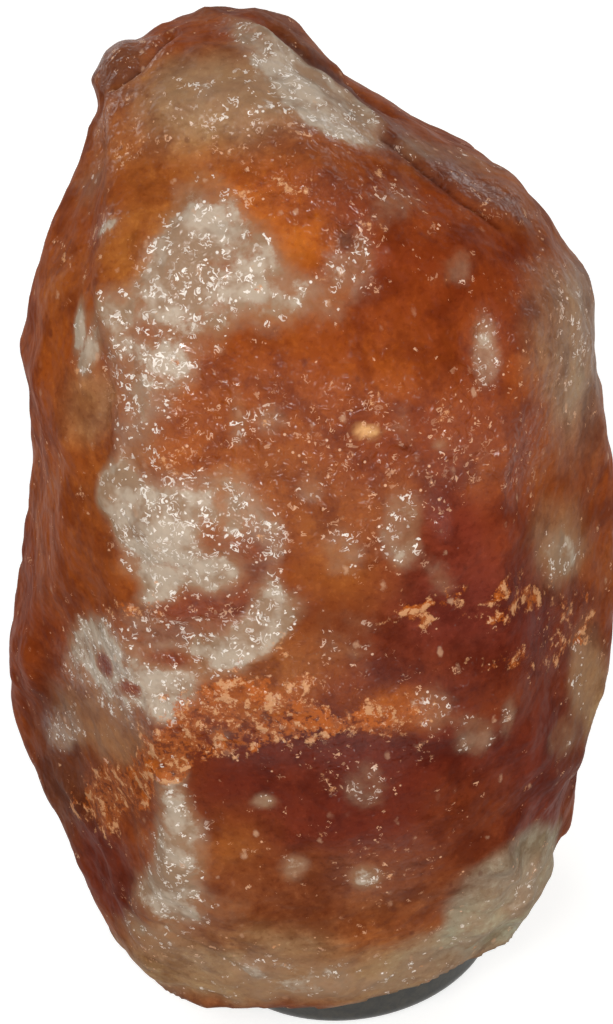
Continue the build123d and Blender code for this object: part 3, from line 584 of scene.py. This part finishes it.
painted_glints = grow(tree, "ShaderNodeMath", glint_line_or_dot, operation="MAXIMUM", use_clamp=True).outputs[0]
glint_tone = blend(tree, span(tree, milk, 0.05, 0.5), tone(220, 168, 130), tone(246, 236, 226))
# The glint lines and dots go into the colour as painted highlights, whiter on the milky salt.
colour = blend(tree, times(tree, painted_glints, 0.9), colour, glint_tone)

# The body is worn matt, and a film of damp over it is clear and wavy.
swell = grain(tree, place, 0.0060, 2, 0.5)
wet = grain(tree, place, 0.0021, 1.5, 0.55, 0.8)
wet_body = times(tree, wet, plus(tree, mark(tree, "glass"), 0.26, 0.03))
body_height = plus(tree, swell, 1.8, wet_body)
body_height = plus(tree, times(tree, crumb, mark(tree, "crust")), 1.4, body_height)
film_height = plus(tree, swell, 1.8, times(tree, wet, 1.5))
film = work(tree, "MAXIMUM", mark(tree, "glass"), times(tree, patchy, 0.10))
feed(tree, shader, {
    "Base Color": colour,
    "Roughness": span(tree, mottle, 0.3, 0.7, 0.52, 0.68),
    "Normal": raise_by(tree, body_height, millimetre),
    "IOR": 1.54,
    "Specular IOR Level": 0.04,
    "Coat Weight": plus(tree, film, 0.50, 0.01),
    "Coat Roughness": 0.09,
    "Coat IOR": 1.5,
    "Coat Normal": raise_by(tree, film_height, millimetre),
})
lump.materials.clear()
lump.materials.append(salt)
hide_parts("salt_crystal")
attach(crystal, "root")


# ---- Wooden base: a turned disc of stained wood under the crystal ----
# Its rim is sanded smooth and varnished almost black.
dark_wood, tree, shader = finish("stained_wood")
streaks = grain(tree, place_on(tree, (1, 0.08, 1)), 0.0016, 5, 0.65, 0.4)
feed(tree, shader, {
    "Base Color": blend(tree, span(tree, streaks, 0.35, 0.7), tone(30, 29, 25), tone(54, 50, 42)),
    "Roughness": span(tree, streaks, 0.3, 0.7, 0.30, 0.45),
    "Normal": raise_by(tree, streaks, 0.0002, 0.5),
})


def dress(material, *names):
    """Give pieces of the frame their finish."""
    for name in names:
        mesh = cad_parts[name].data
        mesh.materials.clear()
        mesh.materials.append(material)


dress(dark_wood, "wooden_base")


# ---- Feet: four discs punched from black rubber sheet, stuck under the base ----
# Their faces are matt and pick up a little dust.
rubber, tree, shader = finish("punched_rubber")
place = place_on(tree)
dust = grain(tree, place, 0.0012, 4, 0.7)
feed(tree, shader, {
    "Base Color": blend(tree, span(tree, dust, 0.45, 0.72), tone(30, 30, 29), tone(62, 60, 56)),
    "Roughness": span(tree, dust, 0.3, 0.7, 0.62, 0.85),
    "Normal": raise_by(tree, grain(tree, place, 0.0004, 2), 0.0001, 0.5),
})
dress(rubber, "foot_1", "foot_2", "foot_3", "foot_4")


# ---- Base fixings: screws and washers of zinc-plated steel, and plugs set in the salt ----
# The plugs are moulded in plain grey nylon. The plating is a little cloudy and marked by handling.
def metal(name, dull, bright, smooth, rough, stretch=(1, 1, 1), size=0.002, relief=0.00004):
    """A bare or plated metal, whose marks run along the way it was made."""
    made, tree, shader = finish(name)
    marks = grain(tree, place_on(tree, stretch), size, 5, 0.65)
    stain = grain(tree, place_on(tree), 0.0045, 3, 0.6)
    wear = plus(tree, marks, 0.5, times(tree, stain, 0.5))
    feed(tree, shader, {
        "Base Color": blend(tree, span(tree, wear, 0.40, 0.60), dull, bright),
        "Metallic": 1,
        "Roughness": span(tree, stain, 0.35, 0.65, rough, smooth),
        "Normal": raise_by(tree, marks, relief, 0.6),
    })
    return made


zinc = metal("zinc_plate", tone(150, 152, 152), tone(206, 208, 204), 0.26, 0.44)
dress(zinc, "base_screws", "base_washers")

nylon, tree, shader = finish("grey_nylon")
flow = grain(tree, place_on(tree, (1, 1, 0.2)), 0.0015, 3)
feed(tree, shader, {
    "Base Color": blend(tree, span(tree, flow, 0.35, 0.65), tone(150, 150, 146), tone(176, 176, 170)),
    "Roughness": span(tree, flow, 0.3, 0.7, 0.36, 0.50),
    "Normal": raise_by(tree, flow, 0.0001, 0.4),
})
dress(nylon, "salt_anchors")


# ---- Lampholder: a cap and a sleeve of black moulded plastic that screw together ----
# The cord's gland is moulded in the same plastic. Spark-worn moulds leave a fine even grain.
black_plastic, tree, shader = finish("moulded_black")
mould_grain = grain(tree, place_on(tree), 0.00035, 2, 0.6)
scuff = grain(tree, place_on(tree, (1, 1, 0.25)), 0.0030, 5, 0.7)
feed(tree, shader, {
    "Base Color": blend(tree, span(tree, scuff, 0.50, 0.72), tone(24, 24, 25), tone(46, 45, 44)),
    "Roughness": span(tree, scuff, 0.35, 0.70, 0.34, 0.52),
    "Normal": raise_by(tree, mould_grain, 0.00005, 0.5),
})
dress(black_plastic, "holder_cap", "holder_sleeve", "cord_gland")


# ---- Contact block: pressed and fired ceramic with a thin cream glaze ----
# Small iron spots show through the glaze. It keeps the live contacts apart.
ceramic, tree, shader = finish("glazed_ceramic")
place = place_on(tree)
firing = grain(tree, place, 0.0060, 4)
fired = span(tree, firing, 0.35, 0.65)
glaze_tone = blend(tree, fired, tone(214, 204, 182), tone(232, 224, 206))
iron_spot = span(tree, grain(tree, place, 0.0007, 2, 0.5), 0.70, 0.76)
feed(tree, shader, {
    "Base Color": blend(tree, times(tree, iron_spot, 0.6), glaze_tone, tone(120, 86, 58)),
    "Roughness": span(tree, firing, 0.35, 0.65, 0.22, 0.40),
    "Normal": raise_by(tree, firing, 0.0002, 0.4),
    "Coat Weight": 0.5,
    "Coat Roughness": 0.08,
})
dress(ceramic, "contact_block")


# ---- Screw shell and contacts: stamped from thin brass sheet ----
# The shell's thread is rolled into the sheet after it is drawn into a tube. It dies out at both
# ends. The terminals are cut from brass too, and their screws are zinc-plated.
def rolled_tube(pitch, crest, root, plain, bottom, top, steps, per_pitch):
    """An open tube of one sheet with a right-hand thread, trimmed square at both ends."""
    tube = bmesh.new()
    first = math.floor(bottom / pitch) - 1
    count = (math.ceil(top / pitch) + 1 - first) * per_pitch
    middle, swing = (crest + root) / 2, (crest - root) / 2
    wave = []
    for i in range(count + 1):
        radius = middle + swing * math.cos(2 * math.pi * i / per_pitch)
        wave.append(tube.verts.new((radius, 0, pitch * (first + i / per_pitch))))
    line = [tube.edges.new(pair) for pair in zip(wave, wave[1:])]
    bmesh.ops.spin(tube, geom=wave + line, cent=(0, 0, 0), axis=(0, 0, 1), dvec=(0, 0, pitch / steps),
                   angle=2 * math.pi, steps=steps, use_duplicate=False)
    bmesh.ops.remove_doubles(tube, verts=tube.verts, dist=weld_distance)
    for cut_height, side in ((bottom, -1), (top, 1)):
        whole = tube.verts[:] + tube.edges[:] + tube.faces[:]
        bmesh.ops.bisect_plane(tube, geom=whole, plane_co=(0, 0, cut_height), plane_no=(0, 0, side),
                               clear_outer=True)
    for point in tube.verts:
        radius = math.hypot(point.co.x, point.co.y)
        live = max(0, min(1, (point.co.z - bottom) / pitch, (top - point.co.z) / pitch))
        share = (plain + (radius - plain) * live) / radius
        point.co = (point.co.x * share, point.co.y * share, point.co.z)
    return tube


def draw_edge(piece, height, rings):
    """Draw the open edge at that height on through rings of (radius, height)."""
    edge = [e for e in piece.edges if e.is_boundary]
    edge = [e for e in edge if all(abs(v.co.z - height) < weld_distance for v in e.verts)]
    for radius, ring_height in rings:
        made = bmesh.ops.extrude_edge_only(piece, edges=edge)["geom"]
        for point in (g for g in made if isinstance(g, bmesh.types.BMVert)):
            share = radius / math.hypot(point.co.x, point.co.y)
            point.co = (point.co.x * share, point.co.y * share, ring_height)
        edge = [g for g in made if isinstance(g, bmesh.types.BMEdge) and g.is_boundary]


def fit_piece(name, shape, material, node, body, wall=0, outward=-1):
    """Make a bmesh a piece that stands for a node. A sheet gets its wall here."""
    bmesh.ops.recalc_face_normals(shape, faces=shape.faces)
    mesh = bpy.data.meshes.new(name)
    shape.to_mesh(mesh)
    shape.free()
    mesh.polygons.foreach_set("use_smooth", [True] * len(mesh.polygons))
    mesh.materials.append(material)
    made = bpy.data.objects.new(name, mesh)
    bpy.context.scene.collection.objects.link(made)
    if wall:
        sheet_wall = made.modifiers.new("wall", "SOLIDIFY")
        sheet_wall.thickness = wall
        sheet_wall.offset = outward
    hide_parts(node)
    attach(made, body)


brass = metal("stamped_brass", tone(166, 124, 62), tone(214, 176, 98), 0.24, 0.42, (1, 1, 0.2))
dress(brass, "centre_contact", "shell_contact", "terminal_left", "terminal_right")
dress(zinc, "terminal_screws")

edison_pitch, edison_depth = 0.002822, 0.0005
edison_steps, edison_per_pitch = 64, 10
shell_bottom, shell_top = (corner.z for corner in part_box("screw_shell"))
shell_bore, shell_wall = 0.0070, 0.00035
lip_foot = shell_top - 0.0006
shell_tube = rolled_tube(edison_pitch, shell_bore + edison_depth, shell_bore, shell_bore,
                         shell_bottom, lip_foot, edison_steps, edison_per_pitch)
flared_lip = (
    (shell_bore + 0.0003, shell_top - 0.0002),
    (shell_bore + 0.0007, shell_top),
    (shell_bore + 0.0012, shell_top),
)
draw_edge(shell_tube, lip_foot, flared_lip)
fit_piece("rolled_shell", shell_tube, brass, "screw_shell", "lampholder", shell_wall, 1)


# ---- Nipple and nuts: a hollow M10 tube with a cut thread, and two hexagon nuts on it ----
# They clamp the spring clip against the holder's cap. All three are zinc-plated steel.
nipple_bottom, nipple_top = (corner.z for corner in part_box("threaded_nipple"))
nipple_middle = (nipple_bottom + nipple_top) / 2
nipple_pitch, nipple_steps, nipple_per_pitch = 0.001, 48, 4
nipple_crest, nipple_root, nipple_plain, nipple_bore = 0.0049, 0.00435, 0.0046, 0.0036
nipple_tube = rolled_tube(nipple_pitch, nipple_crest, nipple_root, nipple_plain,
                          nipple_bottom, nipple_top, nipple_steps, nipple_per_pitch)
for end_height in (nipple_top, nipple_bottom):
    draw_edge(nipple_tube, end_height, ((nipple_bore, end_height), (nipple_bore, nipple_middle)))
bmesh.ops.remove_doubles(nipple_tube, verts=nipple_tube.verts, dist=weld_distance)
bmesh.ops.bridge_loops(nipple_tube, edges=[e for e in nipple_tube.edges if e.is_boundary])
fit_piece("cut_nipple", nipple_tube, zinc, "threaded_nipple", "lampholder")
dress(zinc, "inner_nut", "outer_nut", "gland_screw")


# ---- Spring clip: a plate and two leaves of blue-grey spring steel ----
# The leaves are bent from rolled strip and grip the base's hole, so the rolling lines run along them.
rolling_lines = (0.06, 1, 0.06)
spring_steel = metal("spring_steel", tone(122, 126, 134), tone(160, 163, 168), 0.26, 0.40,
                     rolling_lines, 0.0007)
dress(spring_steel, "clip_plate", "clip_leaf_left", "clip_leaf_right")


# ---- Bulb cap: drawn from thin plated sheet, with a rolled thread and a wider skirt ----
# Black glass closes its foot and holds the centre contact, a drop of solder.
cap_metal = metal("plated_cap", tone(158, 156, 150), tone(212, 210, 202), 0.20, 0.38, (1, 1, 0.2))
cap_bottom, cap_top = (corner.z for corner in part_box("bulb_cap"))
cap_radius, skirt_radius = 0.00685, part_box("bulb_cap")[1].x
cap_wall, plain_rim, skirt_height = 0.0003, 0.0004, 0.003
skirt_bottom = cap_top - skirt_height
thread_bottom, thread_top = cap_bottom + plain_rim, skirt_bottom - 2 * plain_rim
cap_tube = rolled_tube(edison_pitch, cap_radius, cap_radius - edison_depth, cap_radius,
                       thread_bottom, thread_top, edison_steps, edison_per_pitch)
draw_edge(cap_tube, thread_bottom, ((cap_radius - 0.0002, cap_bottom),))
skirt = (
    (cap_radius, skirt_bottom - 0.0003),
    (cap_radius + 0.0003, skirt_bottom),
    (skirt_radius - 0.0003, skirt_bottom),
    (skirt_radius, skirt_bottom + 0.0003),
    (skirt_radius, cap_top - 0.0002),
    (skirt_radius - 0.0001, cap_top),
)
draw_edge(cap_tube, thread_top, skirt)
fit_piece("rolled_cap", cap_tube, cap_metal, "bulb_cap", "bulb", cap_wall, -1)

black_glass, tree, shader = finish("black_glass")
pour = grain(tree, place_on(tree), 0.0030, 3, 0.6, 0.5)
feed(tree, shader, {
    "Base Color": blend(tree, span(tree, pour, 0.4, 0.7), tone(12, 12, 14), tone(30, 28, 32)),
    "Roughness": span(tree, pour, 0.35, 0.65, 0.06, 0.16),
    "Normal": raise_by(tree, pour, 0.0002, 0.4),
})
dress(black_glass, "bulb_insulator")
solder = metal("solder_drop", tone(132, 134, 138), tone(190, 192, 194), 0.30, 0.52,
               size=0.0012, relief=0.00015)
dress(solder, "bulb_tip")


# ---- Bulb glass and stem: clear blown glass, as thin at the dome as at the neck ----
# Drawing and blowing leave faint waves along it. The stem is pinched round the wires.
clear_glass, tree, shader = finish("blown_glass")
draw_waves = grain(tree, place_on(tree, (1, 1, 0.3)), 0.0060, 2)
wave_tone = blend(tree, span(tree, draw_waves, 0.3, 0.7), tone(244, 248, 246), tone(254, 255, 254))
feed(tree, shader, {
    "Base Color": wave_tone,
    "Roughness": 0.02,
    "IOR": 1.5,
    "Transmission Weight": 1,
    "Normal": raise_by(tree, draw_waves, 0.0002, 0.3),
})
dress(clear_glass, "bulb_glass", "bulb_stem")


# ---- Filament and wires: tungsten wire wound into a fine coil, on stiff leads and supports ----
# The coil is bent into half a ring. Lamp heat has darkened it a little.
tungsten = metal("tungsten_wire", tone(70, 70, 76), tone(132, 132, 136), 0.30, 0.50,
                 size=0.0006, relief=0.00001)
dress(tungsten, "lead_wires", "support_wires")
ring_low, ring_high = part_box("filament")
ring_radius, ring_height = 0.0060, (ring_low.z + ring_high.z) / 2
wire_radius, wire_sides = 0.00006, 5
coil_radius, coil_pitch, coil_turns, turn_steps = 0.00023, 0.0003, 62, 10
coil = bmesh.new()
wire_start = Matrix.Translation((coil_radius, 0, 0)) @ Matrix.Rotation(math.pi / 2, 4, "X")
bmesh.ops.create_circle(coil, segments=wire_sides, radius=wire_radius, matrix=wire_start)
bmesh.ops.spin(coil, geom=coil.verts[:] + coil.edges[:], cent=(0, 0, 0), axis=(0, 0, 1),
               dvec=(0, 0, coil_pitch / turn_steps), angle=2 * math.pi * coil_turns,
               steps=coil_turns * turn_steps, use_duplicate=False)
bmesh.ops.holes_fill(coil, edges=[e for e in coil.edges if e.is_boundary], sides=wire_sides)
for point in coil.verts:
    bend = -point.co.z / ring_radius
    reach = ring_radius + point.co.x
    point.co = (reach * math.cos(bend), reach * math.sin(bend), ring_height + point.co.y)
fit_piece("coiled_filament", coil, tungsten, "filament", "bulb")


# ---- Table top and studio: a plain pale sheet, soft boxes in front and fills all round ----
# The sheet looks white from where it is seen, and keeps the lamp's soft shadow.
def where_seen(tree):
    """1 for what the eye sees, directly or in metal and glass, and 0 for the light on the lamp."""
    rays = grow(tree, "ShaderNodeLightPath", {}).outputs
    mirrored = work(tree, "MAXIMUM", rays["Is Camera Ray"], rays["Is Glossy Ray"])
    return work(tree, "MAXIMUM", mirrored, rays["Is Transmission Ray"])


floor_half_size = 6
floor_mesh = bpy.data.meshes.new("table_top")
sheet = bmesh.new()
bmesh.ops.create_grid(sheet, x_segments=1, y_segments=1, size=floor_half_size)
sheet.to_mesh(floor_mesh)
sheet.free()
floor = bpy.data.objects.new("table_top", floor_mesh)
bpy.context.scene.collection.objects.link(floor)
paper, tree, shader = finish("pale_paper")
feed(tree, shader, {
    "Base Color": (*tone(206, 206, 204), 1),
    "Roughness": 0.8,
    "Emission Color": (1, 1, 1, 1),
    "Emission Strength": times(tree, where_seen(tree), 0.62),
})
floor_mesh.materials.append(paper)

world = bpy.data.worlds.new("studio")
bpy.context.scene.world = world
world.use_nodes = True
room_light = 0.12
room_strength = plus(world.node_tree, where_seen(world.node_tree), 1 - room_light, room_light)
feed(world.node_tree, world.node_tree.nodes["Background"], {0: (1, 1, 1, 1), 1: room_strength})

# Each soft box: its name and place, the height on the lamp that it is aimed at, its side in metres,
# its power in watts and its colour.
white_light, warm_light = (1, 1, 1), (1, 0.90, 0.76)
soft_boxes = (
    ("key", (-0.22, -0.85, 0.90), 0.12, 0.28, 3.2, white_light),
    ("flash", (0.04, -0.60, 0.48), 0.12, 0.12, 2.6, white_light),
    ("fill", (0.9, -0.5, 0.5), 0.12, 0.6, 1.4, warm_light),
    ("left_fill", (-0.9, -0.35, 0.35), 0.10, 0.6, 0.8, warm_light),
    ("rear_left", (-0.6, 0.9, 0.7), 0.12, 0.6, 4.5, white_light),
    ("rear_right", (0.7, 0.8, 0.5), 0.12, 0.6, 2.5, white_light),
)
for name, place, aim_height, side, power, shade in soft_boxes:
    light = bpy.data.lights.new(name, "AREA")
    light.shape = "SQUARE"
    light.size = side
    light.energy = power
    light.color = shade
    soft_box = bpy.data.objects.new(name, light)
    bpy.context.scene.collection.objects.link(soft_box)
    away = Vector(place) - Vector((0, 0, aim_height))
    soft_box.matrix_world = Matrix.Translation(place) @ away.to_track_quat("Z", "Y").to_matrix().to_4x4()

bpy.context.scene.view_settings.view_transform = "Standard"
